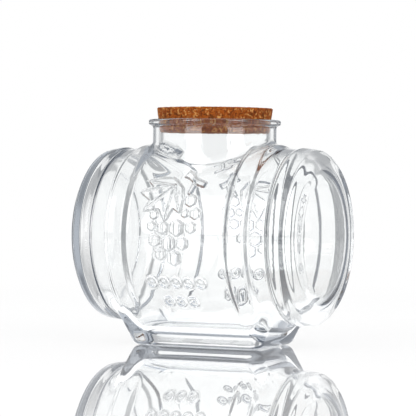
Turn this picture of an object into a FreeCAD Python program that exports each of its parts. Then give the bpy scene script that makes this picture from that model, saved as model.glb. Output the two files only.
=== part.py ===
"""A clear glass barrel jar that lies on its side, with a wide neck and a cork stopper.

Millimetres. The barrel's axis lies along X, the neck points up along Z and the decorated face
looks along -Y. The origin is on the ground, under the middle of the jar.
"""
import FreeCAD, Part
import math
import os

from FreeCAD import Vector

# The barrel: radii are about its axis
BARREL_LENGTH = 147.2
BARREL_RADIUS = 54.9  # at the middle
BULGE = 5.7  # how much thinner the barrel is at its ends
GROUND_CLEARANCE = 10.6  # between the barrel's belly and the ground
WALL = 3.6
END_WALL = 4.6
END_ROUNDING = 4.0
END_DOME = 0.8  # the ends swell outwards by this much
CAVITY_ROUNDING = 11.0

# The four raised hoops, a pair on each half of the barrel
HOOP_RISE = 1.5
HOOP_SLOPE = 0.9  # the run of a hoop's sloping side
HOOP_WIDTH = 12.3
HOOP_GAP = 12.3  # between the two hoops of a pair
HOOP_TO_END = 4.1
HOOP_ROUNDING = 0.8

# The neck with its flat flange
BORE_RADIUS = 33.7
NECK_WALL = 3.4
NECK_HEIGHT = 14.4  # from the barrel's crown to the rim
FLANGE_OVERHANG = 2.6
FLANGE_THICKNESS = 3.5
FLANGE_ROUNDING = 0.9
NECK_FILLET = 2.5
SHOULDER_FILLET = 4.0  # inside, where the bore opens into the barrel

# The flared rectangular foot
FOOT_LENGTH = 83.0
FOOT_WIDTH = 52.0
FOOT_CORNER = 6.0
FOOT_FLARE_ENDS = 0.44  # outward run for each millimetre of height
FOOT_FLARE_SIDES = 0.30
FOOT_WALL = 5.5
FOOT_FLOOR = 8.0
FOOT_EDGE = 2.4
FOOT_FILLET = 3.0
CONTACT_RIM = 5.5
PUSH_UP = 1.6  # the rise of the hollow underneath, which leaves a rim to stand on

# The tapered cork, pushed partly into the mouth
CORK_HEIGHT = 15.0
CORK_TAPER = 0.12  # widening for each millimetre of height
CORK_EASE = 0.6  # how much narrower than the bore its lower end is
CORK_PROUD = 7.1  # how far it stands above the rim
CORK_BEVEL = 0.6
CORK_CLEARANCE = 0.1

# The relief on the front and back panels. Heights are above the barrel's axis.
GRAPE_RISE = 1.3
GRAPE_SPREAD = 1.4  # the width of a grape's whole dome, before its neighbours flatten its sides
GRAPE_CORNER = 1.0
GRAPES = (  # place along the barrel, height, width
    (9.0, 21.5, 7.2),
    (6.7, 14.0, 5.2),
    (13.1, 13.9, 6.6),
    (-13.3, 13.0, 5.6),
    (-14.4, 6.4, 5.6),
    (-7.2, 5.5, 7.2),
    (2.0, 5.6, 9.2),
    (10.9, 6.0, 6.8),
    (-12.4, -1.8, 7.4),
    (-3.4, -3.5, 8.8),
    (5.6, -3.4, 7.4),
    (-8.9, -9.8, 6.8),
    (-0.1, -11.9, 9.0),
)
LEAF_RISE = 0.9
LEAF_OUTLINE = (  # place along the barrel, height, rounding
    (-2.7, 32.8, 1.5),
    (2.5, 28.6, 2.0),
    (4.2, 21.7, 2.0),
    (3.2, 14.0, 0.6),
    (-1.4, 17.0, 1.0),
    (-5.9, 8.9, 0.6),
    (-10.6, 16.6, 1.0),
    (-21.0, 15.0, 0.6),
    (-17.4, 21.4, 1.0),
    (-25.0, 26.0, 0.6),
    (-16.8, 29.2, 1.0),
    (-21.4, 32.6, 0.6),
    (-15.0, 34.2, 2.0),
    (-5.3, 34.3, 2.0),
)
STEM_RISE = 1.5
STEM_OUTLINE = (
    (1.2, 35.0, 0.8),
    (3.4, 38.8, 0.8),
    (6.2, 37.6, 1.2),
    (9.6, 34.2, 1.5),
    (16.4, 32.0, 0.8),
    (15.6, 29.0, 0.8),
    (10.6, 30.4, 0.8),
    (8.4, 24.4, 0.8),
    (6.0, 25.3, 0.8),
    (7.8, 31.8, 1.0),
    (4.6, 34.0, 1.2),
)
BULLSEYE_ROWS = (  # height, first place along the barrel, number, ring radius
    (-26.5, -17.0, 5, 2.9),
    (-38.0, -9.5, 3, 2.6),
)
BULLSEYE_PITCH = 7.9
RING_THICKNESS = 1.7

AXIS_HEIGHT = GROUND_CLEARANCE + BARREL_RADIUS
RIM_HEIGHT = AXIS_HEIGHT + BARREL_RADIUS + NECK_HEIGHT
NECK_RADIUS = BORE_RADIUS + NECK_WALL
AXIS = Vector(0, 0, AXIS_HEIGHT)
ALONG_BARREL = Vector(1, 0, 0)
UP = Vector(0, 0, 1)


def rounded_outline(corners):
    """A closed wire through corners of (point, rounding), each corner turned by a tangent arc.

    An arc uses at most 0.45 of the shorter side beside it, whatever rounding is asked for.
    """
    ends = []
    for i, (corner, rounding) in enumerate(corners):
        before = corners[i - 1][0] - corner
        after = corners[(i + 1) % len(corners)][0] - corner
        half_turn = (math.pi - before.getAngle(after)) / 2
        reach = min(rounding * math.tan(half_turn), 0.45 * before.Length, 0.45 * after.Length)
        if reach < 0.01:
            ends.append((corner, None, corner))
            continue
        start = corner + before.normalize() * reach
        finish = corner + after.normalize() * reach
        radius = reach / math.tan(half_turn)
        middle_line = (before + after).normalize()
        middle = corner + middle_line * (math.hypot(radius, reach) - radius)
        ends.append((start, middle, finish))
    edges = []
    for i, (start, middle, finish) in enumerate(ends):
        if middle:
            edges.append(Part.Arc(start, middle, finish).toShape())
        edges.append(Part.LineSegment(finish, ends[(i + 1) % len(ends)][0]).toShape())
    return Part.Wire(edges)


def turned(corners, centre, axis):
    """The solid swept out when the outline turns once about an axis."""
    return Part.Face(rounded_outline(corners)).revolve(centre, axis, 360)


def stave_arc():
    """The radius of the arc that every stave follows from end to end."""
    return ((BARREL_LENGTH / 2) ** 2 + BULGE**2) / (2 * BULGE)


def stave_radius(x):
    """The radius of the plain barrel at a distance from its middle."""
    return BARREL_RADIUS - stave_arc() + math.sqrt(stave_arc() ** 2 - x**2)


def barrel_point(x, radius):
    return Vector(x, 0, AXIS_HEIGHT + radius)


def barrel(end_inset, side_inset, rounding):
    """The plain barrel with bulging sides and ends, drawn in by an inset all round."""
    end = BARREL_LENGTH / 2 - end_inset
    edge_radius = stave_radius(end) - side_inset
    dome = (edge_radius**2 + END_DOME**2) / (2 * END_DOME)
    half_way = end - dome + math.sqrt(dome**2 - edge_radius**2 / 4)
    corner = barrel_point(end - END_DOME, edge_radius)
    other_corner = barrel_point(END_DOME - end, edge_radius)
    middle = barrel_point(0, BARREL_RADIUS - side_inset)
    side = Part.Arc(other_corner, middle, corner)
    right = Part.Arc(corner, barrel_point(half_way, edge_radius / 2), barrel_point(end, 0))
    left = Part.Arc(barrel_point(-end, 0), barrel_point(-half_way, edge_radius / 2), other_corner)
    axis = Part.LineSegment(barrel_point(end, 0), barrel_point(-end, 0))
    outline = Part.Wire([curve.toShape() for curve in (side, right, axis, left)])
    solid = Part.Face(outline).revolve(AXIS, ALONG_BARREL, 360)
    rims = [e for e in solid.Edges if e.BoundBox.XLength < 1e-6 and e.Length > 1]
    return solid.makeFillet(rounding, rims)


def hoop(near, far):
    """One raised hoop between two distances from the middle, rooted inside the wall."""
    root = WALL / 2
    corners = [
        (barrel_point(near - HOOP_SLOPE, stave_radius(near) - root), 0),
        (barrel_point(near - HOOP_SLOPE, stave_radius(near)), 0),
        (barrel_point(near, stave_radius(near) + HOOP_RISE), HOOP_ROUNDING),
        (barrel_point(far, stave_radius(far) + HOOP_RISE), HOOP_ROUNDING),
        (barrel_point(far + HOOP_SLOPE, stave_radius(far)), 0),
        (barrel_point(far + HOOP_SLOPE, stave_radius(far) - root), 0),
    ]
    return turned(corners, AXIS, ALONG_BARREL)


def hoops():
    """The four hoops, a pair on each half of the barrel."""
    outer = BARREL_LENGTH / 2 - HOOP_TO_END
    inner = outer - HOOP_WIDTH - HOOP_GAP
    pair = [hoop(edge - HOOP_WIDTH, edge) for edge in (inner, outer)]
    return pair + [ring.mirror(Vector(0, 0, 0), ALONG_BARREL) for ring in pair]


def neck():
    """The outside of the neck and its flange, from inside the barrel up to the rim."""
    below_flange = RIM_HEIGHT - FLANGE_THICKNESS
    flange_radius = NECK_RADIUS + FLANGE_OVERHANG
    return turned(
        [
            (Vector(0, 0, AXIS_HEIGHT), 0),
            (Vector(NECK_RADIUS, 0, AXIS_HEIGHT), 0),
            (Vector(NECK_RADIUS, 0, below_flange), FLANGE_ROUNDING),
            (Vector(flange_radius, 0, below_flange), FLANGE_ROUNDING),
            (Vector(flange_radius, 0, RIM_HEIGHT), FLANGE_ROUNDING),
            (Vector(0, 0, RIM_HEIGHT), 0),
        ],
        Vector(0, 0, 0),
        UP,
    )


def cork_radius(height):
    """The cork's radius at a height above its lower end."""
    return BORE_RADIUS - CORK_EASE + CORK_TAPER * height


def bore():
    """The space inside the neck. Its mouth widens to take the cork's taper."""
    seat = CORK_HEIGHT - CORK_PROUD
    seat_depth = seat - (CORK_EASE - CORK_CLEARANCE) / CORK_TAPER
    mouth = cork_radius(seat) + CORK_CLEARANCE
    return turned(
        [
            (Vector(0, 0, AXIS_HEIGHT), 0),
            (Vector(BORE_RADIUS, 0, AXIS_HEIGHT), 0),
            (Vector(BORE_RADIUS, 0, RIM_HEIGHT - seat_depth), 0),
            (Vector(mouth, 0, RIM_HEIGHT), 0),
            (Vector(0, 0, RIM_HEIGHT), 0),
        ],
        Vector(0, 0, 0),
        UP,
    )


def rectangle(length, width, corner, height):
    """A flat wire, a rectangle with rounded corners about the Z axis."""
    points = [
        Vector(sx * length / 2, sy * width / 2, height)
        for sx, sy in ((1, 1), (-1, 1), (-1, -1), (1, -1))
    ]
    return rounded_outline([(point, corner) for point in points])


def foot_top():
    """The height at which even the sharp corner of the flare is buried in the barrel."""
    height = AXIS_HEIGHT - BARREL_RADIUS
    while True:
        x = FOOT_LENGTH / 2 + FOOT_FLARE_ENDS * height
        y = FOOT_WIDTH / 2 + FOOT_FLARE_SIDES * height
        if math.hypot(y, AXIS_HEIGHT - height) < stave_radius(x):
            return height
        height += 0.5


def flared(inset, bottom, top):
    """The foot's flared block between two heights, with its walls set in by inset."""
    wires = []
    for height in (bottom, top):
        length = FOOT_LENGTH + 2 * FOOT_FLARE_ENDS * height - 2 * inset
        width = FOOT_WIDTH + 2 * FOOT_FLARE_SIDES * height - 2 * inset
        wires.append(rectangle(length, width, FOOT_CORNER + inset / 2, height))
    return Part.makeLoft(wires, True, True)


def edges_at(shape, height):
    """The edges of a shape that lie flat at a height."""
    return [e for e in shape.Edges if e.BoundBox.ZLength < 1e-6 and abs(e.BoundBox.ZMin - height) < 1e-6]


def foot():
    """The outside of the foot, hollowed underneath so that it stands on a rim."""
    block = flared(0, 0, foot_top())
    block = block.makeFillet(FOOT_EDGE, edges_at(block, 0))
    hollow = Part.makeLoft(
        [
            rectangle(FOOT_LENGTH - 2 * inset, FOOT_WIDTH - 2 * inset, FOOT_CORNER, height)
            for inset, height in ((CONTACT_RIM, 0), (CONTACT_RIM + 3 * PUSH_UP, PUSH_UP))
        ],
        True,
        True,
    )
    return block.cut(hollow)


def foot_cavity():
    """The hollow of the foot, open above into the barrel's."""
    block = flared(FOOT_WALL, FOOT_FLOOR, foot_top() - 1)
    return block.makeFillet(FOOT_CORNER, edges_at(block, FOOT_FLOOR))


def panel_point(x, height):
    """A point of the front panel, and the way straight out of it."""
    radius = stave_radius(x)
    depth = math.sqrt(radius**2 - height**2)
    return Vector(x, -depth, AXIS_HEIGHT + height), Vector(0, -depth / radius, height / radius)


def dome(x, height, width, rise):
    """A ball sunk into the front panel until a cap of a given width and rise shows."""
    point, outwards = panel_point(x, height)
    radius = (width**2 / 4 + rise**2) / (2 * rise)
    return Part.makeSphere(radius, point - outwards * (radius - rise))


def prism(outline):
    """A block with a given outline, which reaches out through the front panel."""
    corners = [(Vector(x, 0, AXIS_HEIGHT + height), rounding) for x, height, rounding in outline]
    return Part.Face(rounded_outline(corners)).extrude(Vector(0, -2 * BARREL_RADIUS, 0))


def plate(outline, rise):
    """A low flat-topped relief with a given outline, following the curve of the panel."""
    return prism(outline).common(barrel(0, -rise, END_ROUNDING))


def grape(x, height, width):
    """A domed grape, pressed by its neighbours into a hexagon with a corner at the top."""
    reach = width / math.sqrt(3)
    turns = [math.radians(60 * i) for i in range(6)]
    hexagon = [(x + reach * math.sin(t), height + reach * math.cos(t), GRAPE_CORNER) for t in turns]
    return prism(hexagon).common(dome(x, height, GRAPE_SPREAD * width, GRAPE_RISE))


def bullseye(x, height, radius):
    """A raised ring with a bead in the middle."""
    point, outwards = panel_point(x, height)
    ring = Part.makeTorus(radius, RING_THICKNESS / 2, point, outwards)
    return [ring, dome(x, height, radius, RING_THICKNESS / 2)]


def bullseyes():
    """Two rows of rings, each with a bead in it."""
    pieces = []
    for height, first, count, radius in BULLSEYE_ROWS:
        for i in range(count):
            pieces += bullseye(first + i * BULLSEYE_PITCH, height, radius)
    return pieces


def with_relief(body):
    """The jar with a bunch of grapes, its leaf and stem and the bullseyes on both panels."""
    leaf_and_stem = [plate(LEAF_OUTLINE, LEAF_RISE), plate(STEM_OUTLINE, STEM_RISE)]
    for turn in (0, 180):
        bunch = [grape(*place).rotated(Vector(0, 0, 0), UP, turn) for place in GRAPES]
        body = body.multiFuse(bunch)
        for piece in leaf_and_stem + bullseyes():
            body = body.fuse(piece.rotated(Vector(0, 0, 0), UP, turn))
    return body


def is_round_neck(edge, radius):
    """Whether an edge runs round the neck at a radius, where the neck meets the barrel."""
    first, last = edge.ParameterRange
    points = [edge.valueAt(first + (last - first) * share) for share in (0, 0.3, 0.7, 1)]
    below_rim = RIM_HEIGHT - FLANGE_THICKNESS - FLANGE_ROUNDING
    return all(abs(math.hypot(p.x, p.y) - radius) < 0.01 and p.z < below_rim for p in points)


def is_on_flare(edge, shape):
    """Whether an edge is where a side of the foot runs into the barrel."""
    faces = shape.ancestorsOfType(edge, Part.Face)
    tall = [face for face in faces if face.BoundBox.ZLength > BARREL_RADIUS]
    return len(faces) == 2 and len(tall) == 1 and edge.BoundBox.ZMax < AXIS_HEIGHT


def jar():
    """The whole glass: one hollow solid, whose neck and foot run into the barrel in fillets."""
    body = barrel(0, 0, END_ROUNDING).fuse(neck()).removeSplitter()
    body = body.makeFillet(NECK_FILLET, [e for e in body.Edges if is_round_neck(e, NECK_RADIUS)])
    body = body.fuse(foot())
    body = body.makeFillet(FOOT_FILLET, [e for e in body.Edges if is_on_flare(e, body)])
    body = with_relief(body.multiFuse(hoops()))
    inside = barrel(END_WALL, WALL, CAVITY_ROUNDING).fuse(bore()).removeSplitter()
    shoulder = [e for e in inside.Edges if is_round_neck(e, BORE_RADIUS)]
    inside = inside.makeFillet(SHOULDER_FILLET, shoulder).fuse(foot_cavity())
    return body.cut(inside)


def cork():
    """A plain tapered disc with its two edges bevelled."""
    bottom = RIM_HEIGHT + CORK_PROUD - CORK_HEIGHT
    disc = Part.makeCone(cork_radius(0), cork_radius(CORK_HEIGHT), CORK_HEIGHT, Vector(0, 0, bottom))
    return disc.makeChamfer(CORK_BEVEL, edges_at(disc, bottom) + edges_at(disc, bottom + CORK_HEIGHT))


os.makedirs("parts", exist_ok=True)
for name, shape in (("jar", jar()), ("cork", cork())):
    shape.exportStep(f"parts/{name}.step")
    print(name, len(shape.Solids), "solid,", round(shape.Volume / 1000, 1), "cm3, valid:", shape.isValid())
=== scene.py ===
# %% Load the frame
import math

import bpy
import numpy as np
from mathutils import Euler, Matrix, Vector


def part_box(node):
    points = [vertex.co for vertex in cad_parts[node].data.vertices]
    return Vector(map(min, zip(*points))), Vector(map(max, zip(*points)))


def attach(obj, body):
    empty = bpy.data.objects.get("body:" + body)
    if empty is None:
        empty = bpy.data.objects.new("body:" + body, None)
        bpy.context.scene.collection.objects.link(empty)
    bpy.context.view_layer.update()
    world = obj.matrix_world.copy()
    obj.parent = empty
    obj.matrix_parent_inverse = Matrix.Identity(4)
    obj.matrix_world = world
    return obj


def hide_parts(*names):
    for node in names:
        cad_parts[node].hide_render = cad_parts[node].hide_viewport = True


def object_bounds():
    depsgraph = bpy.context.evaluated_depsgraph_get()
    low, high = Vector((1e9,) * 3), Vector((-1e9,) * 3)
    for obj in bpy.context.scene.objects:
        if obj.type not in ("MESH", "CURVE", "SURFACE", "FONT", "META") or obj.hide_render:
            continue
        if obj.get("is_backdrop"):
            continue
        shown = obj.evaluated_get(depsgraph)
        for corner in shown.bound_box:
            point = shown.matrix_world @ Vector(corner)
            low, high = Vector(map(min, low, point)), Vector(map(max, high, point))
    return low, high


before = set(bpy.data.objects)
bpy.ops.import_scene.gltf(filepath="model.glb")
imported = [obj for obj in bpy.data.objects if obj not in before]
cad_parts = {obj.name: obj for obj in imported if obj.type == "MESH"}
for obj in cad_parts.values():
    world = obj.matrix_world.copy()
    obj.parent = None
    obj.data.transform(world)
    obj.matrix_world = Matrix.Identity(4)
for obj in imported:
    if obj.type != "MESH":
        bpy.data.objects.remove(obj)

# %% [markdown]
# # A clear glass barrel jar with a cork
#
# The jar is one piece of pressed and blown glass, shaped as a small barrel that lies on its
# side: two pairs of raised hoops, a wide neck with a flat flange, a flared rectangular foot,
# and a bunch of grapes in low relief on its front and back. A tapered cork sits in its mouth.
#
# Clear glass shows nothing but how it bends and mirrors the light, so its surface must be
# truly smooth. The construction model has the right sizes, but its surfaces are cut into flat
# facets and its pieces meet in edges, while molten glass flows round every corner. This lesson
# keeps the sizes and makes the surface again as a distance field, whose slope gives a perfect
# normal at each point.

CAD_LOW, CAD_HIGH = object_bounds()
MM = 0.001
print("nodes:", sorted(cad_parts))
print("construction box in mm:", [round(v / MM, 1) for v in (*CAD_LOW, *CAD_HIGH)])

# %% [markdown]
# ## The jar's sizes
#
# The jar's outline follows from these sizes, in millimetres. Where the frame can say how long
# or high something is, the value is read from it and not written again. The outside of the
# barrel is 54.9 mm in radius at its middle, and the blown glass is between 3.6 mm thick at the
# sides and 8 mm in the floor of the foot.

# %% The sizes of the glass
jar_low, jar_high = (np.array(corner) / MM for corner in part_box("jar"))
cork_low, cork_high = (np.array(corner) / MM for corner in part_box("cork"))

HALF_LENGTH = (jar_high[0] - jar_low[0]) / 2
RIM_HEIGHT = jar_high[2]
BARREL_RADIUS = 54.9
BULGE = 5.7  # how much wider the barrel is in the middle than at its ends
AXIS_HEIGHT = 65.5
WALL = 3.6
END_WALL = 4.6
END_DOME = 0.8

HOOP_RISE = 1.5
HOOP_WIDTH = 12.3
HOOP_GAP = 12.3
HOOP_TO_END = 4.1
HOOP_SLOPE = 2.8  # the run of a hoop's sloping side

BORE_RADIUS = 33.7
NECK_RADIUS = 37.1
FLANGE_RADIUS = 39.7
FLANGE_THICKNESS = 3.5
MOUTH_DEPTH = 3.7  # the mouth widens above this depth
CORK_TAPER = 0.12  # widening for each millimetre of height

FOOT_HALF_LENGTH = 41.5
FOOT_HALF_WIDTH = 26.0
FOOT_CORNER = 6.0
FLARE_ENDS = 0.44  # widening for each millimetre of height
FLARE_SIDES = 0.30
FOOT_WALL = 5.5
FOOT_FLOOR = 8.0
PUSH_UP = 1.6
CONTACT_RIM = 5.5
print("barrel", 2 * HALF_LENGTH, "mm long, rim at", round(RIM_HEIGHT, 1), "mm")

# %% [markdown]
# ## Distance fields
#
# A distance field is a function that is negative inside a shape, positive outside it and zero
# on its surface. Two fields are joined by taking the smaller of the two, and a smooth minimum
# rounds the corner between them over a chosen radius, as melted glass does. A hollow is cut by
# taking the larger of one field and the negative of the other.

# %% Joining and cutting distance fields
def smooth_min(a, b, radius):
    """The smaller of two fields, with the corner between them filled over a radius."""
    blend = np.maximum(radius - np.abs(a - b), 0) / radius
    return np.minimum(a, b) - blend**2 * radius / 4


def smooth_max(a, b, radius):
    """The larger of two fields, with the corner between them rounded off over a radius."""
    return -smooth_min(-a, -b, radius)


def ramp(value, low, high):
    """0 below low, 1 above high, and a soft S between them."""
    share = np.clip((value - low) / (high - low), 0, 1)
    return share**3 * (share * (share * 6 - 15) + 10)


print("a corner joined over 4 mm is filled by", -smooth_min(0.0, 0.0, 4.0), "mm")

# %% [markdown]
# ## The barrel and its hoops
#
# Each stave follows one long arc. The four hoops are low bands on it, with straight sloping
# sides and soft edges: glass takes the shape of the mould there but never a sharp corner. These
# slopes matter most for the look. Each one bends the light to one side all along its width and
# so shows as a dark line, and a narrower or rounder slope would make that line too thin.

# %% The barrel
STAVE_ARC = (HALF_LENGTH**2 + BULGE**2) / (2 * BULGE)
HOOP_SOFTNESS = 0.4  # share of a slope's height over which each of its edges is rounded
OUTER_HOOP = HALF_LENGTH - HOOP_TO_END
INNER_HOOP = OUTER_HOOP - HOOP_WIDTH - HOOP_GAP
HOOP_EDGES = [(outer - HOOP_WIDTH, outer) for outer in (INNER_HOOP, OUTER_HOOP)]


def stave_radius(x):
    return BARREL_RADIUS - STAVE_ARC + np.sqrt(STAVE_ARC**2 - x**2)


def flank(distance):
    """0 before an edge and 1 past it, with a straight slope and rounded ends between them."""
    lower = smooth_min(1.0, 0.5 + distance / HOOP_SLOPE, HOOP_SOFTNESS)
    return smooth_max(0.0, lower, HOOP_SOFTNESS)


def hoop_rise(x):
    """How far the hoops stand above the staves at a distance from the barrel's middle."""
    across = np.abs(x)
    rise = 0.0
    for near, far in HOOP_EDGES:
        rise = rise + HOOP_RISE * (flank(across - near) - flank(across - far))
    return rise


def barrel(x, y, z, end, inset, rounding, rise=0.0):
    """A barrel's field: its sides drawn in by inset, and its domed ends at plus and minus end."""
    out = np.hypot(y, z - AXIS_HEIGHT)
    sides = out - (stave_radius(np.clip(x, -end, end)) - inset + rise)
    edge = stave_radius(end) - inset
    ends = np.abs(x) - end + END_DOME * (out / edge) ** 2
    return smooth_max(sides, ends, rounding)


print("hoops from the middle:", [tuple(round(float(e), 1) for e in pair) for pair in HOOP_EDGES])

# %% [markdown]
# ## The neck, the flange and the mouth
#
# The neck is a plain cylinder that melts into the barrel's crown. Its flange is the part that
# the mould's ring made, so it is flat on top with small soft edges. Inside, the bore is
# straight, and the mouth widens a little to take the cork's taper.

# %% The neck and the bore
FLANGE_EDGE = 1.6


def neck(x, y, z):
    out = np.hypot(x, y)
    middle = RIM_HEIGHT - FLANGE_THICKNESS / 2
    column = np.maximum(out - NECK_RADIUS, AXIS_HEIGHT - z)
    column = np.maximum(column, z - middle)
    disc = np.abs(z - middle) - FLANGE_THICKNESS / 2
    flange = smooth_max(out - FLANGE_RADIUS, disc, FLANGE_EDGE)
    return smooth_min(column, flange, FLANGE_EDGE)


def bore(x, y, z):
    widening = CORK_TAPER * np.maximum(z - (RIM_HEIGHT - MOUTH_DEPTH), 0)
    return np.maximum(np.hypot(x, y) - BORE_RADIUS - widening, AXIS_HEIGHT - z)


print("mouth:", round(2 * (BORE_RADIUS + CORK_TAPER * MOUTH_DEPTH), 1), "mm wide at the rim")

# %% [markdown]
# ## The foot
#
# The foot is a rounded rectangle whose sides lean outwards as they rise into the barrel. The
# hollow of the jar dips into it, and a shallow hollow underneath leaves a rim to stand on. The
# outer edge at the floor has a small radius, and the inner one a large one, as blown glass does.

# %% The foot, its hollow and the push-up under it
FOOT_TOP = 32  # inside the barrel, where the foot's block ends unseen
FOOT_EDGE = 3.4
FOOT_HOLLOW_EDGE = 9
PUSH_UP_EDGE = 2.4


def flared_block(x, y, z, inset, corner):
    """A rounded rectangle in plan that widens upwards, with its walls set in by inset."""
    half_length = FOOT_HALF_LENGTH + FLARE_ENDS * z - inset
    half_width = FOOT_HALF_WIDTH + FLARE_SIDES * z - inset
    past_end = np.abs(x) - half_length + corner
    past_side = np.abs(y) - half_width + corner
    outside = np.hypot(np.maximum(past_end, 0), np.maximum(past_side, 0))
    inside = np.minimum(np.maximum(past_end, past_side), 0)
    return (outside + inside - corner) * math.cos(math.atan(FLARE_ENDS))


def foot(x, y, z):
    block = np.maximum(flared_block(x, y, z, 0, FOOT_CORNER), z - FOOT_TOP)
    return smooth_max(block, -z, FOOT_EDGE)


def foot_hollow(x, y, z):
    walls = flared_block(x, y, z, FOOT_WALL, FOOT_CORNER + 2)
    block = np.maximum(walls, z - FOOT_TOP - 2)
    return smooth_max(block, FOOT_FLOOR - z, FOOT_HOLLOW_EDGE)


def push_up(x, y, z):
    walls = flared_block(x, y, z, CONTACT_RIM + 2, FOOT_CORNER)
    return smooth_max(walls, z - PUSH_UP, PUSH_UP_EDGE)


print("foot:", 2 * FOOT_HALF_LENGTH, "x", 2 * FOOT_HALF_WIDTH, "mm at the floor")

# %% [markdown]
# ## The relief on the panels
#
# The relief is cut into the mould's two halves, so it is a height map seen from the front: a
# low dome for each grape, a lobed leaf with veins, a knotted stem, and below them a traditional
# ornament of rings and beads. Displacing a mesh with an image would need a very fine mesh, so
# the heights are sums of simple functions that go straight into the jar's field.
#
# Each place is given along the barrel and above its axis, in millimetres.

# %% Where the grapes, the leaf, the stem and the rings lie
GRAPES = (  # place along the barrel, height above its axis, width
    (9.0, 21.5, 7.2), (6.7, 14.0, 5.2), (13.1, 13.9, 6.6), (-13.3, 13.0, 5.6), (-14.4, 6.4, 5.6),
    (-7.2, 5.5, 7.2), (2.0, 5.6, 9.2), (10.9, 6.0, 6.8), (-12.4, -1.8, 7.4), (-3.4, -3.5, 8.8),
    (5.6, -3.4, 7.4), (-8.9, -9.8, 6.8), (-0.1, -11.9, 9.0),
)
LEAF = (
    (-2.7, 32.8), (2.5, 28.6), (4.2, 21.7), (3.2, 14.0), (-1.4, 17.0), (-5.9, 8.9),
    (-10.6, 16.6), (-21.0, 15.0), (-17.4, 21.4), (-25.0, 26.0), (-16.8, 29.2), (-21.4, 32.6),
    (-15.0, 34.2), (-5.3, 34.3),
)
LEAF_TIPS = LEAF[3:12:2]
LEAF_HEART = (-2.7, 30.0)  # where the veins start
STEM = (
    (1.2, 35.0), (3.4, 38.8), (6.2, 37.6), (9.6, 34.2), (16.4, 32.0), (15.6, 29.0),
    (10.6, 30.4), (8.4, 24.4), (6.0, 25.3), (7.8, 31.8), (4.6, 34.0),
)
RING_ROWS = (  # height above the axis, place of the first ring, how many, radius
    (-26.5, -17.0, 5, 2.9),
    (-38.0, -9.5, 3, 2.6),
)
RING_PITCH = 7.9
print("relief:", len(GRAPES), "grapes, a leaf with", len(LEAF_TIPS), "veins and a stem")

# %% [markdown]
# ## Distances in the panel's plane
#
# The leaf and the stem are outlines of straight sides. Their edges are softened by the distance
# to the outline, and the veins are grooves along straight lines, so two helpers measure both.

# %% Distance to a line and to an outline
def distance_to_line(x, h, start, end):
    """Distance to the straight line between two points."""
    along = np.array(end, float) - start
    share = ((x - start[0]) * along[0] + (h - start[1]) * along[1]) / (along @ along)
    share = np.clip(share, 0, 1)
    return np.hypot(x - start[0] - share * along[0], h - start[1] - share * along[1])


def outline_distance(x, h, corners):
    """Distance to an outline of straight sides: negative inside it."""
    nearest = np.full(np.shape(x), np.inf)
    inside = np.zeros(np.shape(x), bool)
    for (x0, h0), (x1, h1) in zip(corners, corners[1:] + corners[:1]):
        nearest = np.minimum(nearest, distance_to_line(x, h, (x0, h0), (x1, h1)))
        crosses = (h0 > h) != (h1 > h)
        side = x0 + (h - h0) * (x1 - x0) / (h1 - h0 or 1e-9)
        inside ^= crosses & (x < side)
    return np.where(inside, -nearest, nearest)


print("the veins start", -round(float(outline_distance(*LEAF_HEART, LEAF)), 1), "mm inside the leaf")

# %% [markdown]
# ## The relief's heights
#
# The grapes press each other into hexagons, like cells of honeycomb, and each keeps a domed
# top. Everything stands about a millimetre proud, with soft edges from the fire polish.

# %% Heights above the panel
GRAPE_RISE = 1.3
GRAPE_SPREAD = 1.4  # width of a grape's dome, as a share of the hexagon that cuts it
LEAF_RISE = 1.1
STEM_RISE = 1.5
RING_RISE = 0.85
VEIN_DEPTH = 0.45
VEIN_WIDTH, RING_WIDTH, BEAD_WIDTH = 0.6, 0.65, 0.8
GRAPE_EDGE = (-0.3, 0.9)  # the edge rises from here to here, measured inwards from the outline
LEAF_EDGE = (-0.9, 0.7)
STEM_EDGE = (-0.6, 1.0)


def swell(distance, width):
    """1 on a line or point, falling off softly over a width."""
    return np.exp(-((distance / width) ** 2))


def grape(x, h, width):
    """A domed grape about the origin, with six sides pressed flat by its neighbours."""
    radius = (0.25 * (GRAPE_SPREAD * width) ** 2 + GRAPE_RISE**2) / (2 * GRAPE_RISE)
    dome = np.sqrt(np.maximum(radius**2 - x**2 - h**2, 0)) - radius + GRAPE_RISE
    slanted = math.sqrt(0.75) * h
    sides = np.maximum(np.abs(0.5 * x + slanted), np.abs(0.5 * x - slanted))
    sides = np.maximum(np.abs(x), sides)
    return dome * ramp(width / 2 - sides, *GRAPE_EDGE)


def relief(x, h):
    """The height of the relief at a place along the barrel and a height above its axis."""
    rise = np.zeros(np.shape(x))
    for place, height, width in GRAPES:
        rise = np.maximum(rise, grape(x - place, h - height, width))
    leaf = LEAF_RISE * ramp(-outline_distance(x, h, LEAF), *LEAF_EDGE)
    for tip in LEAF_TIPS:
        vein = swell(distance_to_line(x, h, LEAF_HEART, tip), VEIN_WIDTH)
        leaf -= VEIN_DEPTH * vein * (leaf > 0)
    stem = STEM_RISE * ramp(-outline_distance(x, h, STEM), *STEM_EDGE)
    rise = np.maximum(rise, np.maximum(leaf, stem))
    for height, first, count, radius in RING_ROWS:
        for i in range(count):
            away = np.hypot(x - first - i * RING_PITCH, h - height)
            ring_and_bead = np.maximum(swell(away - radius, RING_WIDTH), swell(away, BEAD_WIDTH))
            rise = np.maximum(rise, RING_RISE * ring_and_bead)
    return rise


grape_top = relief(np.array([GRAPES[0][0]]), np.array([GRAPES[0][1]]))
print("the first grape's top:", round(float(grape_top[0]), 2), "mm above the panel")

# %% [markdown]
# ## Both panels
#
# The mould's halves carry the same ornament, so the jar looks the same when it is turned round.
# The heights are only worked out where a panel is, which saves most of the time.

# %% The relief on the front and on the back
PANEL_HALF_LENGTH = 28
PANEL_HALF_HEIGHT = 42
PANEL_DEPTH = 30  # from the jar's middle plane: everything nearer to it is no panel


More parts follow.
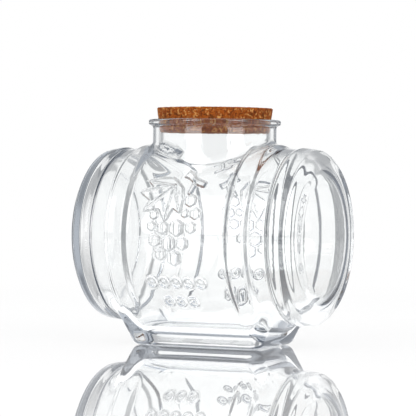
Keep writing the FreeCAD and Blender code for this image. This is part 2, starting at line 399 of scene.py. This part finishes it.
def panel_relief(x, y, z):
    """The relief of both panels: the back one is the front one turned round with the jar."""
    rise = np.zeros(np.shape(x))
    near = (np.abs(x) < PANEL_HALF_LENGTH) & (np.abs(z - AXIS_HEIGHT) < PANEL_HALF_HEIGHT)
    near &= np.abs(y) > PANEL_DEPTH
    turned = np.where(y[near] < 0, x[near], -x[near])
    rise[near] = relief(turned, z[near] - AXIS_HEIGHT)
    return rise


along = np.linspace(-PANEL_HALF_LENGTH, PANEL_HALF_LENGTH, 113)
heights = np.arange(-PANEL_HALF_HEIGHT, PANEL_HALF_HEIGHT, 0.5)
rows = [relief(along, height + 0 * along).max() for height in heights]
print("the relief's highest point:", round(float(max(rows)), 2), "mm")

# %% [markdown]
# ## The whole jar
#
# The outside is the barrel, neck and foot melted together, and the inside is the smooth hollow
# that the blown air left, which doesn't follow the hoops. The blends have different radii:
# small outside, where the glass touched the cold mould, and large inside, where it was free.

# %% The jar's field
END_ROUNDING, HOLLOW_ROUNDING = 8, 14
NECK_BLEND, FOOT_BLEND, HOLLOW_BLEND = 4, 6, 9
LIP_ROUNDING, PUSH_UP_ROUNDING = 0.8, 1.5


def jar_field(x, y, z):
    rise = hoop_rise(x) + panel_relief(x, y, z)
    outside = barrel(x, y, z, HALF_LENGTH, 0, END_ROUNDING, rise)
    outside = smooth_min(outside, neck(x, y, z), NECK_BLEND)
    outside = smooth_min(outside, foot(x, y, z), FOOT_BLEND)
    hollow = barrel(x, y, z, HALF_LENGTH - END_WALL, WALL, HOLLOW_ROUNDING)
    hollow = smooth_min(hollow, bore(x, y, z), HOLLOW_BLEND)
    hollow = smooth_min(hollow, foot_hollow(x, y, z), HOLLOW_BLEND)
    glass = smooth_max(outside, -hollow, LIP_ROUNDING)
    return smooth_max(glass, -push_up(x, y, z), PUSH_UP_ROUNDING)


gap = (HOOP_EDGES[0][1] + HOOP_EDGES[1][0]) / 2  # a place between two hoops
outwards, sample = np.linspace(0, BARREL_RADIUS, 6000, retstep=True)
in_glass = jar_field(gap + 0 * outwards, -outwards, AXIS_HEIGHT + 0 * outwards) < 0
print("wall between the hoops:", round(float(sample * in_glass.sum()), 1), "mm")

# %% [markdown]
# ## The field's slope
#
# The slope of a distance field points straight out of the surface. It is the normal at each
# point, and it shows a point that lies beside the surface which way to go and how far.

# %% The slope, and pulling points to the surface
SLOPE_STEP = 0.02  # mm to each side
FLATTEST = 0.2  # the least squared slope to divide by
LONGEST_PULL = 0.5  # mm in one round


def field_slope(points):
    """The field's gradient, by small central steps along each axis."""
    slope = np.empty(points.shape)
    for axis in range(3):
        ahead, behind = points.copy(), points.copy()
        ahead[:, axis] += SLOPE_STEP
        behind[:, axis] -= SLOPE_STEP
        slope[:, axis] = (jar_field(*ahead.T) - jar_field(*behind.T)) / (2 * SLOPE_STEP)
    return slope


def pull_to_surface(points, rounds=4):
    """Points moved along the slope until they lie on the surface."""
    for _ in range(rounds):
        slope = field_slope(points)
        off = jar_field(*points.T) / np.maximum((slope**2).sum(1), FLATTEST)
        points = points - np.clip(off, -LONGEST_PULL, LONGEST_PULL)[:, None] * slope
    return points


beside = np.array([[gap, 0.0, AXIS_HEIGHT + stave_radius(gap) + 1.0]])
print("pulled from", beside[0].round(2).tolist(), "to", pull_to_surface(beside)[0].round(2).tolist())

# %% [markdown]
# ## From a field to a mesh
#
# The field is read on a grid of small cells, a few layers at a time, so that it never needs
# much memory. A cell of 0.75 mm is fine enough for the beads and the edges of the grapes.

# %% The field on a grid
CELL = 0.75
LAYERS = 8  # read at a time


def read_grid(low, cells):
    """The field at every corner of a grid of cells."""
    axes = [low[i] + CELL * np.arange(cells[i] + 1) for i in range(3)]
    values = np.empty([len(axis) for axis in axes], np.float32)
    for start in range(0, len(axes[0]), LAYERS):
        slab = axes[0][start : start + LAYERS]
        x, y, z = np.meshgrid(slab, axes[1], axes[2], indexing="ij")
        field = jar_field(x.ravel(), y.ravel(), z.ravel())
        values[start : start + LAYERS] = field.reshape(x.shape)
    return values


print("cells along the jar:", math.ceil(2 * HALF_LENGTH / CELL))

# %% [markdown]
# ## A net over the surface
#
# Each cell that the surface passes through gets one point, and each grid edge that the surface
# crosses joins the four cells round it with a face. The points are then pulled onto the surface
# exactly. Such a net has evenly sized faces, where marching cubes would leave many slivers.

# %% Surface nets
def faces_across(axis, inside, number):
    """Faces round the grid edges along one axis that the surface crosses, facing outwards."""
    cells = np.array(number.shape)
    others = [a for a in range(3) if a != axis]
    first = np.take(inside, range(cells[axis]), axis)
    second = np.take(inside, range(1, cells[axis] + 1), axis)
    at = np.argwhere(first != second)
    leaving = first[tuple(at.T)]
    within = np.all((at[:, others] > 0) & (at[:, others] < cells[others]), axis=1)
    at, leaving = at[within], leaving[within]
    ring = []
    for du, dv in ((1, 1), (0, 1), (0, 0), (1, 0)):
        cell = at.copy()
        cell[:, others[0]] -= du
        cell[:, others[1]] -= dv
        ring.append(number[tuple(cell.T)])
    quads = np.stack(ring, 1)
    kept = leaving if axis != 1 else ~leaving
    quads[~kept] = quads[~kept][:, ::-1]
    return quads


def surface_net(low, high):
    """Points and four-sided faces of the surface inside a box."""
    cells = np.ceil((high - low) / CELL).astype(int)
    inside = read_grid(low, cells) < 0
    corners = [inside[i : i + cells[0], j : j + cells[1], k : k + cells[2]]
               for i in (0, 1) for j in (0, 1) for k in (0, 1)]
    count = sum(corner.astype(np.int8) for corner in corners)
    crossed = (count > 0) & (count < len(corners))
    number = np.full(crossed.shape, -1, np.int64)
    number[crossed] = np.arange(crossed.sum())
    points = low + CELL * (np.argwhere(crossed) + 0.5)
    return points, np.concatenate([faces_across(axis, inside, number) for axis in range(3)])


margin = 2 * CELL
net_points, net_faces = surface_net(jar_low - margin, jar_high + margin)
net_points = pull_to_surface(net_points)
print("surface net:", len(net_points), "points,", len(net_faces), "faces")

# %% [markdown]
# ## Thinning the mesh
#
# The net has far more faces than the plain stretches of glass need. A collapse decimation takes
# faces away where the surface is nearly flat and leaves them in the grapes, hoops and edges.
# Every point is then pulled back to the true surface and gets the field's own slope as its
# normal, so light passes through as it would through a perfectly smooth wall.

# %% The glass mesh
MOST_TRIANGLES = 190_000


def mesh_object(name, points, faces):
    """An object in the scene, from points in millimetres."""
    mesh = bpy.data.meshes.new(name)
    mesh.from_pydata(points * MM, [], faces)
    mesh.update()
    thing = bpy.data.objects.new(name, mesh)
    bpy.context.scene.collection.objects.link(thing)
    return thing


def apply_modifiers(thing):
    """Replaces the object's mesh by what its modifiers make of it."""
    evaluated = thing.evaluated_get(bpy.context.evaluated_depsgraph_get())
    thing.data = bpy.data.meshes.new_from_object(evaluated)
    thing.modifiers.clear()


glass = mesh_object("barrel_glass", net_points, net_faces)
decimate = glass.modifiers.new("Thin out", "DECIMATE")
decimate.ratio = MOST_TRIANGLES / (2 * len(net_faces))
apply_modifiers(glass)
mesh = glass.data
points = np.empty(len(mesh.vertices) * 3)
mesh.vertices.foreach_get("co", points)
points = pull_to_surface(points.reshape(-1, 3) / MM, rounds=2)
mesh.vertices.foreach_set("co", (points * MM).ravel())
slope = field_slope(points)
normals = slope / np.linalg.norm(slope, axis=1)[:, None]
mesh.shade_smooth()
mesh.normals_split_custom_set_from_vertices(normals)
mesh.update()
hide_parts("jar")
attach(glass, "root")
print("glass:", len(mesh.vertices), "points,", len(mesh.polygons), "faces")

# %% [markdown]
# ## The cork
#
# The stopper is agglomerated cork: chips of bark of 1 to 4 mm, pressed with a binder into a
# slab, from which the disc is cut. The cut leaves small pits where chips tore out, most of all
# along the edges. The disc's outline is turned round its axis, as on a lathe, into a fine mesh,
# and a texture of cells as wide as a chip then sinks the pits into it.

# %% The cork's outline
CORK_BEVEL = 0.6
OUTLINE_STEP = 0.5  # mm between points
SEGMENTS = 300


def cork_outline():
    """Radii and heights down the outline, from the middle of the top to that of the bottom."""
    height = cork_high[2] - cork_low[2]
    top_radius = cork_high[0]
    bottom_radius = top_radius - CORK_TAPER * height
    corners = np.array([
        (0.0, height), (top_radius - CORK_BEVEL, height), (top_radius, height - CORK_BEVEL),
        (bottom_radius, CORK_BEVEL), (bottom_radius - CORK_BEVEL, 0.0), (0.0, 0.0),
    ])
    outline = []
    for start, end in zip(corners[:-1], corners[1:]):
        steps = max(2, round(np.linalg.norm(end - start) / OUTLINE_STEP))
        outline += [start + (end - start) * i / steps for i in range(steps)]
    return np.array(outline[1:])


outline = cork_outline()
print("cork:", round(2 * cork_high[0], 1), "mm across the top,", len(outline), "rings of points")

# %% [markdown]
# ## Turning the cork
#
# Each point of the outline becomes a ring, and two neighbouring rings are joined by a band of
# four-sided faces. The first and the last ring are closed by triangles round a middle point.

# %% The cork's mesh
CHIP_PIT = 1.6  # mm across a torn chip
PIT_DEPTH = 0.35


def turned(outline):
    """Points and faces of the disc that an outline makes when it turns."""
    angles = 2 * math.pi * np.arange(SEGMENTS) / SEGMENTS
    radius, height = outline[:, 0][:, None], outline[:, 1][:, None]
    level = height + cork_low[2] + 0 * angles
    rings = np.stack([radius * np.cos(angles), radius * np.sin(angles), level], -1).reshape(-1, 3)
    middles = [[0, 0, cork_high[2]], [0, 0, cork_low[2]]]
    top, bottom = len(rings), len(rings) + 1
    faces = []
    for first in range(0, len(rings) - SEGMENTS, SEGMENTS):
        second = first + SEGMENTS
        for i in range(SEGMENTS):
            j = (i + 1) % SEGMENTS
            faces.append((first + j, first + i, second + i, second + j))
    last = len(rings) - SEGMENTS
    for i in range(SEGMENTS):
        j = (i + 1) % SEGMENTS
        faces.append((top, i, j))
        faces.append((bottom, last + j, last + i))
    return np.vstack([rings, middles]), faces


cork = mesh_object("cork_stopper", *turned(outline))
cork.data.shade_smooth()
pits = bpy.data.textures.new("Torn chips", "VORONOI")
pits.noise_scale = CHIP_PIT * MM
sink = cork.modifiers.new("Sink the pits", "DISPLACE")
sink.texture = pits
sink.strength = -PIT_DEPTH * MM
sink.mid_level = 0.0
apply_modifiers(cork)
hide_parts("cork")
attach(cork, "root")
print("cork:", len(cork.data.polygons), "faces")

# %% [markdown]
# ## Tools for materials
#
# A finish is a small network of nodes. One function adds a node with its settings and links,
# and another turns a colour as it looks on a screen into the linear light that Blender reckons
# with. Numbers that are the same all over a surface go straight onto the shader's sockets.
#
# Most sockets are called by name. Where a node has several of the same name, they go by number:
# 0 and 1 in a Math node, 0 to 2 in a Mix Shader, and in a Mix node as the names below say.

# %% Colours and nodes
SHARE, NUMBER_A, NUMBER_B, COLOUR_A, COLOUR_B = 0, 2, 3, 6, 7
MIXED_NUMBER, MIXED_COLOUR = 0, 2


def linear(colour):
    """An sRGB hex colour as linear values for a socket."""
    parts = [int(colour[i : i + 2], 16) / 255 for i in (1, 3, 5)]
    return [p / 12.92 if p <= 0.04045 else ((p + 0.055) / 1.055) ** 2.4 for p in parts] + [1.0]


def add(tree, kind, inputs, **settings):
    """A new node. Each input is a value, or the output of another node."""
    made = tree.nodes.new("ShaderNode" + kind)
    for name, value in settings.items():
        setattr(made, name, value)
    for name, value in inputs.items():
        if isinstance(value, bpy.types.NodeSocket):
            tree.links.new(value, made.inputs[name])
        else:
            made.inputs[name].default_value = value
    return made


def empty_material(name):
    made = bpy.data.materials.new(name)
    made.use_nodes = True
    made.node_tree.nodes.clear()
    return made, made.node_tree


print("middle grey in linear light:", [round(part, 3) for part in linear("#808080")[:3]])

# %% [markdown]
# ## Flint glass
#
# Jars like this are pressed and blown from flint glass, a clear soda-lime glass with the iron
# kept low. It refracts with an index of 1.52. The iron that is left cools and greys the light a
# little over a long way through the glass, which shows in the foot and along the hoops, and
# Volume Absorption does the same. The fire polish leaves the skin smooth, with only a soft
# waviness from the cooling mould.

# %% Flint glass, fire-polished
GLASS_IOR = 1.52
WAVE_LENGTH = 14.0  # mm between the soft waves in the skin
WAVE_DEPTH = 0.02  # mm
IRON_GREY = "#d6dfea"  # the light that is left after a long way through the glass
IRON_DENSITY = 1.5  # for each metre of glass

flint_glass, tree = empty_material("Flint glass, pressed and fire-polished")
place = add(tree, "TexCoord", {}).outputs["Object"]
waves = add(tree, "TexNoise", {
    "Vector": place, "Scale": 1 / (WAVE_LENGTH * MM), "Detail": 1.0, "Roughness": 0.4,
})
skin = add(tree, "Bump", {
    "Height": waves.outputs["Fac"], "Distance": WAVE_DEPTH * MM, "Strength": 1.0,
})
shader = add(tree, "BsdfPrincipled", {
    "Base Color": linear("#fdfefe"), "Roughness": 0.0, "IOR": GLASS_IOR,
    "Transmission Weight": 1.0, "Normal": skin.outputs["Normal"],
})
greying = add(tree, "VolumeAbsorption", {"Color": linear(IRON_GREY), "Density": IRON_DENSITY})
print(flint_glass.name, "IOR", GLASS_IOR)

# %% [markdown]
# ## Light that goes astray in glass
#
# Real light goes round in a thick edge until it finds a way out. The renderer follows only a
# few mirrorings and then ends the light, which would paint the foot's corners black. So light
# that has been mirrored more than twice goes straight on through the glass, a little greyer.
#
# The lamps' light needs the same help. Glass throws hardly any shadow, but the renderer's
# shadow rays don't bend, so three quarters of their light passes and lights cork and floor.

# %% A way out for light inside the glass
MOST_MIRRORINGS = 2.5
LAMP_LIGHT_PASSING = 0.75
PASSING_GREY = "#b2b8c0"

path = add(tree, "LightPath", {})
shadow, mirrorings = path.outputs["Is Shadow Ray"], path.outputs["Glossy Depth"]
lamp_light = add(tree, "Math", {0: shadow, 1: LAMP_LIGHT_PASSING}, operation="MULTIPLY")
astray = add(tree, "Math", {0: mirrorings, 1: MOST_MIRRORINGS}, operation="GREATER_THAN")
straight_on = add(tree, "Math", {
    0: lamp_light.outputs["Value"], 1: astray.outputs["Value"],
}, operation="MAXIMUM")
clear = add(tree, "BsdfTransparent", {"Color": linear(PASSING_GREY)})
surface = add(tree, "MixShader", {
    0: straight_on.outputs["Value"], 1: shader.outputs["BSDF"], 2: clear.outputs["BSDF"],
})
add(tree, "OutputMaterial", {
    "Surface": surface.outputs["Shader"], "Volume": greying.outputs["Volume"],
})
glass.data.materials.clear()
glass.data.materials.append(flint_glass)
print("nodes in the glass:", len(tree.nodes))

# %% [markdown]
# ## Agglomerated cork
#
# Pressed cork shows its chips: each grain of bark has its own brown, from straw to nearly
# black where it comes from the outer bark. Cells of noise make the grains, one size for the
# chips and a smaller one for the crumbs between them, and a coarser noise bends their straight
# borders. One random value for each cell picks its tone: most are warm browns, and the darkest
# and the palest are rare. Finer noise stains each grain. The surface is cut and sanded, so it
# is matt, with a low sheen only.

# %% The grains of the cork
CHIP = 1.9  # mm across a large chip
CRUMB = 0.9
MOTTLE = 0.35
RAGGED = 1.2  # mm between the bends in a chip's border
RAGGED_BY = 1.1  # mm at the most
CRUMB_SHARE = 0.6

pressed_cork, tree = empty_material("Agglomerated cork, cut and sanded")
place = add(tree, "TexCoord", {}).outputs["Object"]
drift = add(tree, "TexNoise", {"Vector": place, "Scale": 1 / (RAGGED * MM), "Detail": 2.0})
shift = add(tree, "VectorMath", {
    0: drift.outputs["Color"], 1: (RAGGED_BY * MM,) * 3,
}, operation="MULTIPLY")
ragged = add(tree, "VectorMath", {0: place, 1: shift.outputs["Vector"]}, operation="ADD")
tones = []
for size, channel in ((CHIP, "Red"), (CRUMB, "Green")):
    grains = add(tree, "TexVoronoi", {"Vector": ragged.outputs["Vector"], "Scale": 1 / (size * MM)})
    parts = add(tree, "SeparateColor", {"Color": grains.outputs["Color"]})
    tones.append(parts.outputs[channel])
blend = add(tree, "Mix", {SHARE: CRUMB_SHARE, NUMBER_A: tones[0], NUMBER_B: tones[1]})
tone = blend.outputs[MIXED_NUMBER]
mottle = add(tree, "TexNoise", {
    "Vector": place, "Scale": 1 / (MOTTLE * MM), "Detail": 3.0, "Roughness": 0.65,
}).outputs["Fac"]
print("grains of", CHIP, "and", CRUMB, "mm, mottled every", MOTTLE, "mm")

# %% [markdown]
# ## The cork's browns
#
# Two ramps turn the noise into colour: one gives each grain its bark, and one the stains of
# binder and dust. They are mixed two to one. The noise also lifts the grains a little, so the
# sanded face catches the light unevenly.

# %% Agglomerated cork, cut and sanded
BARK_TONES = (
    (0.20, "#2e0c02"), (0.32, "#6e2606"), (0.44, "#94400a"),
    (0.56, "#a55212"), (0.66, "#782c06"), (0.80, "#dca662"),
)
STAIN_TONES = ((0.38, "#2a0d04"), (0.62, "#c8742c"))
STAIN_SHARE = 0.35
GRAIN_LIFT = 0.2  # mm

bark = add(tree, "ValToRGB", {"Fac": tone})
stain = add(tree, "ValToRGB", {"Fac": mottle})
for spread, stops in ((bark, BARK_TONES), (stain, STAIN_TONES)):
    elements = spread.color_ramp.elements
    while len(elements) < len(stops):
        elements.new(0.5)
    for element, (at, colour) in zip(elements, stops):
        element.position = at
        element.color = linear(colour)
stained = add(tree, "Mix", {
    SHARE: STAIN_SHARE, COLOUR_A: bark.outputs["Color"], COLOUR_B: stain.outputs["Color"],
}, data_type="RGBA")
height = add(tree, "Math", {0: mottle, 1: tone}, operation="ADD").outputs["Value"]
lifted = add(tree, "Bump", {"Height": height, "Distance": GRAIN_LIFT * MM, "Strength": 0.7})
shader = add(tree, "BsdfPrincipled", {
    "Base Color": stained.outputs[MIXED_COLOUR], "Roughness": 0.85, "IOR": 1.45,
    "Specular IOR Level": 0.2, "Normal": lifted.outputs["Normal"],
})
add(tree, "OutputMaterial", {"Surface": shader.outputs["BSDF"]})
cork.data.materials.clear()
cork.data.materials.append(pressed_cork)
print(pressed_cork.name, "in", len(BARK_TONES), "tones of bark")

# %% [markdown]
# ## The floor
#
# The jar stands on a sheet of white acrylic, polished on top. Seen from low down, such a sheet
# mirrors much of the light, so it shows the jar upside down, and its white body carries the
# shadow. Under the jar the sheet has a painted glow: it gives off light of its own, in place of
# the light that the clear glass would let through, and the thick foot gathers that painted light.
# The glow is for the glass alone: to the camera the sheet is plain white, and a little whiter
# than to the glass, and further off it fades into the white behind it.

# %% White acrylic, cast and polished
FLOOR_SIZE = 3.0  # metres across
FLOOR_LEVEL = -0.1  # mm: just under the foot
HAZE_PATCH = 40  # mm between the dull places in the polish
MOST_HAZE = 0.03
PAINTED_GLOW_UNDER_JAR = {"From Min": 0.07, "From Max": 0.16, "To Min": 0.8, "To Max": 0.05}  # metres from the jar's middle, and the strength of the painted glow
FADE = {"From Min": 0.35, "From Max": 0.8}  # metres

white_acrylic, tree = empty_material("White acrylic, cast and polished")
place = add(tree, "TexCoord", {}).outputs["Object"]
dust = add(tree, "TexNoise", {"Vector": place, "Scale": 1 / (HAZE_PATCH * MM), "Detail": 2.0})
haze = add(tree, "MapRange", {"Value": dust.outputs["Fac"], "To Min": 0.0, "To Max": MOST_HAZE})
away = add(tree, "VectorMath", {0: place}, operation="LENGTH").outputs["Value"]
seen = add(tree, "LightPath", {}).outputs["Is Camera Ray"]
# Painted light: near the jar's middle the sheet glows for every ray but the camera's, in place of the
# light that the glass passes onto the floor.
lit = add(tree, "MapRange", {"Value": away, **PAINTED_GLOW_UNDER_JAR}, interpolation_type="SMOOTHSTEP")
glow = add(tree, "Mix", {SHARE: seen, NUMBER_A: lit.outputs["Result"], NUMBER_B: 0.0})
body = add(tree, "Mix", {
    SHARE: seen, COLOUR_A: linear("#c4c4c4"), COLOUR_B: linear("#f4f4f4"),
}, data_type="RGBA")
sheet = add(tree, "BsdfPrincipled", {
    "Base Color": body.outputs[MIXED_COLOUR], "Roughness": haze.outputs["Result"], "IOR": 1.49,
    "Coat Weight": 1.0, "Coat Roughness": 0.0, "Coat IOR": 1.5,
    "Emission Color": linear("#ffffff"), "Emission Strength": glow.outputs[MIXED_NUMBER],
})
print("lit plate to", PAINTED_GLOW_UNDER_JAR["From Max"], "m from the jar's middle")

# %% [markdown]
# ## The floor's far end
#
# A real sweep bends upwards behind the object, so that no edge shows. Here the sheet stays flat
# and turns into plain white between 0.35 and 0.8 metres from the jar, for the camera only.

# %% The floor fades into white
fade = add(tree, "MapRange", {"Value": away, **FADE}, interpolation_type="SMOOTHSTEP")
faded = add(tree, "Math", {0: fade.outputs["Result"], 1: seen}, operation="MULTIPLY")
white = add(tree, "Emission", {"Color": linear("#ffffff"), "Strength": 1.0})
both = add(tree, "MixShader", {
    0: faded.outputs["Value"], 1: sheet.outputs["BSDF"], 2: white.outputs["Emission"],
})
add(tree, "OutputMaterial", {"Surface": both.outputs["Shader"]})
reach = FLOOR_SIZE / 2 / MM
corners = [(sx * reach, sy * reach, FLOOR_LEVEL) for sx, sy in ((-1, -1), (1, -1), (1, 1), (-1, 1))]
floor = mesh_object("white_acrylic_floor", np.array(corners), [(0, 1, 2, 3)])
floor.data.materials.append(white_acrylic)
floor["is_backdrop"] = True
print("floor", FLOOR_SIZE, "m across")

# %% [markdown]
# ## The studio
#
# Clear glass is lit by what stands round it. A white tent would make it vanish, so the tent
# has a few grey cards: light that the glass bends towards a card turns into a dark line along
# each edge. The cards are soft and slightly blue, and each is set by its direction: how far
# round from the wall behind the jar, and how high. They show in the glass, the cork's gloss and
# the floor, while the camera itself sees plain white behind the jar.

# %% Directions in the studio
CAMERA_AZIMUTH = math.radians(25.26)
TENT = 1.0
CARDS = (  # turn, height, half width and half height in degrees, and how much light is left
    (21, 2, 7, 12, 0.12),  # behind on the right: the dark lines of the hoops and grapes
    (-21, 2, 8, 13, 0.3),  # behind on the left
    (0, 27, 50, 12, 0.45),  # high on the back wall: shades the upper side of each grape
    (0, 75, 60, 30, 0.8),  # the roof
    (180, 8, 55, 28, 0.35),  # the dark room behind the camera, mirrored in the neck
)


def towards(turn, height):
    """The direction that lies turned to the right of straight behind the jar, and so high."""
    a = math.radians(turn) - CAMERA_AZIMUTH
    e = math.radians(height)
    return Vector((math.cos(e) * math.sin(a), math.cos(e) * math.cos(a), math.sin(e)))


print("straight behind the jar:", [round(part, 2) for part in towards(0, 0)])

# %% [markdown]
# ## A card in the tent
#
# The world has no objects, so a card is a patch of directions. It is as wide and as high as two
# dot products say, has soft borders, and lies only on its own side of the world.

# %% How much of a card lies in a direction
CARD_SOFTNESS = 0.2  # share of a card's half size over which its border fades, to each side


def card_share(tree, direction, turn, height, half_wide, half_high):
    """How much of a soft card lies in a direction: 1 in its middle, 0 outside."""
    across, up = towards(turn + 90, 0), towards(turn, height + 90)
    shares = []
    for axis, half in ((across, half_wide), (up, half_high)):
        reach = math.sin(math.radians(half))
        off = add(tree, "VectorMath", {0: direction, 1: axis}, operation="DOT_PRODUCT")
        size = add(tree, "Math", {0: off.outputs["Value"]}, operation="ABSOLUTE")
        edge = add(tree, "MapRange", {
            "Value": size.outputs["Value"],
            "From Min": (1 + CARD_SOFTNESS) * reach, "From Max": (1 - CARD_SOFTNESS) * reach,
        }, interpolation_type="SMOOTHSTEP")
        shares.append(edge.outputs["Result"])
    middle = towards(turn, height)
    facing = add(tree, "VectorMath", {0: direction, 1: middle}, operation="DOT_PRODUCT")
    ahead = add(tree, "Math", {0: facing.outputs["Value"], 1: 0.0}, operation="GREATER_THAN")
    inside = add(tree, "Math", {0: shares[0], 1: shares[1]}, operation="MULTIPLY")
    both = {0: inside.outputs["Value"], 1: ahead.outputs["Value"]}
    return add(tree, "Math", both, operation="MULTIPLY").outputs["Value"]


print("the widest card:", 2 * max(card[2] for card in CARDS), "degrees")

# %% [markdown]
# ## The tent
#
# The tent is the world's background. It starts at an even level, and each card in turn brings
# that level down where it hangs. What is left of the light picks a tint between white and a
# dark blue grey, as grey card has in daylight.

# %% The tent
world = bpy.data.worlds.new("White tent with grey cards")
bpy.context.scene.world = world
world.use_nodes = True
tree = world.node_tree
tree.nodes.clear()
direction = add(tree, "TexCoord", {}).outputs["Generated"]
level = TENT
for *card, left in CARDS:
    share = card_share(tree, direction, *card)
    level = add(tree, "Mix", {SHARE: share, NUMBER_A: level, NUMBER_B: left}).outputs[MIXED_NUMBER]
seen = add(tree, "LightPath", {}).outputs["Is Camera Ray"]
shown = add(tree, "Mix", {SHARE: seen, NUMBER_A: level, NUMBER_B: 1.0}).outputs[MIXED_NUMBER]
tint = add(tree, "Mix", {
    SHARE: shown, COLOUR_A: linear("#22303f"), COLOUR_B: linear("#ffffff"),
}, data_type="RGBA")
tent = add(tree, "Background", {"Color": tint.outputs[MIXED_COLOUR], "Strength": 1.0})
add(tree, "OutputWorld", {"Surface": tent.outputs["Background"]})
print("cards:", len(CARDS))

# %% [markdown]
# ## The soft boxes
#
# Two soft boxes stand in front of the jar, either side of the camera. Each mirrors in the
# neck's skin as a pale upright strip, and gives the glass its shine. They are large and stand
# well away, so their light on the cork and floor stays even.

# %% Two soft boxes
SOFT_BOXES = ((-139, 25), (140, 25))  # turn and height in degrees, as for the cards
BOX_WIDTH, BOX_HEIGHT, BOX_DISTANCE = 1.1, 1.5, 1.8  # metres
BOX_WATTS = 16
JAR_MIDDLE = Vector((0, 0, 0.07))

for number, (turn, height) in enumerate(SOFT_BOXES):
    name = f"soft_box_{number}"
    box = bpy.data.objects.new(name, bpy.data.lights.new(name, "AREA"))
    box.data.shape = "RECTANGLE"
    box.data.size = BOX_WIDTH
    box.data.size_y = BOX_HEIGHT
    box.data.energy = BOX_WATTS
    way = towards(turn, height)
    box.location = JAR_MIDDLE + BOX_DISTANCE * way
    box.rotation_euler = way.to_track_quat("Z", "Y").to_euler()
    bpy.context.scene.collection.objects.link(box)
print("soft boxes:", len(SOFT_BOXES))

# %% [markdown]
# ## The camera
#
# A long lens from more than a metre away keeps the hoops nearly parallel. The camera stands
# low, a little under the neck, is turned about a quarter of the way round to the barrel's end,
# and looks down and leans by a degree or less.

# %% The camera
CAMERA_DISTANCE = 1.288
CAMERA_HEIGHT = 0.1044
CAMERA_LENS = 185.8
LOOKS_DOWN, LOOKS_ASIDE, LEANS = 1.0, 0.163, 0.5  # degrees

camera = bpy.data.objects.new("camera", bpy.data.cameras.new("camera"))
camera.data.lens = CAMERA_LENS
camera.data.clip_start = 0.1
camera.data.clip_end = 20
place = CAMERA_DISTANCE * towards(180, 0)
place.z = CAMERA_HEIGHT
turn = CAMERA_AZIMUTH + math.radians(LOOKS_ASIDE)
aim = Euler((math.radians(90 - LOOKS_DOWN), 0, turn)).to_matrix()
lean = Matrix.Rotation(math.radians(LEANS), 3, "Z")
camera.matrix_world = Matrix.Translation(place) @ (aim @ lean).to_4x4()
bpy.context.scene.collection.objects.link(camera)
bpy.context.scene.camera = camera
bpy.context.scene.view_settings.view_transform = "Standard"
print("camera at", [round(v, 3) for v in place])

# %% [markdown]
# ## The size of the result
#
# Both boxes, the construction model's and that of the looks, are printed side by side. The
# looks have to fill the construction model's box and never stand out of it.

# %% Keep both boxes and finish
boxes = {"cad": [list(CAD_LOW), list(CAD_HIGH)], "visual": [list(corner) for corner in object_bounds()]}
for name, (low, high) in boxes.items():
    print(name, [round(v / MM, 1) for v in (*low, *high)])
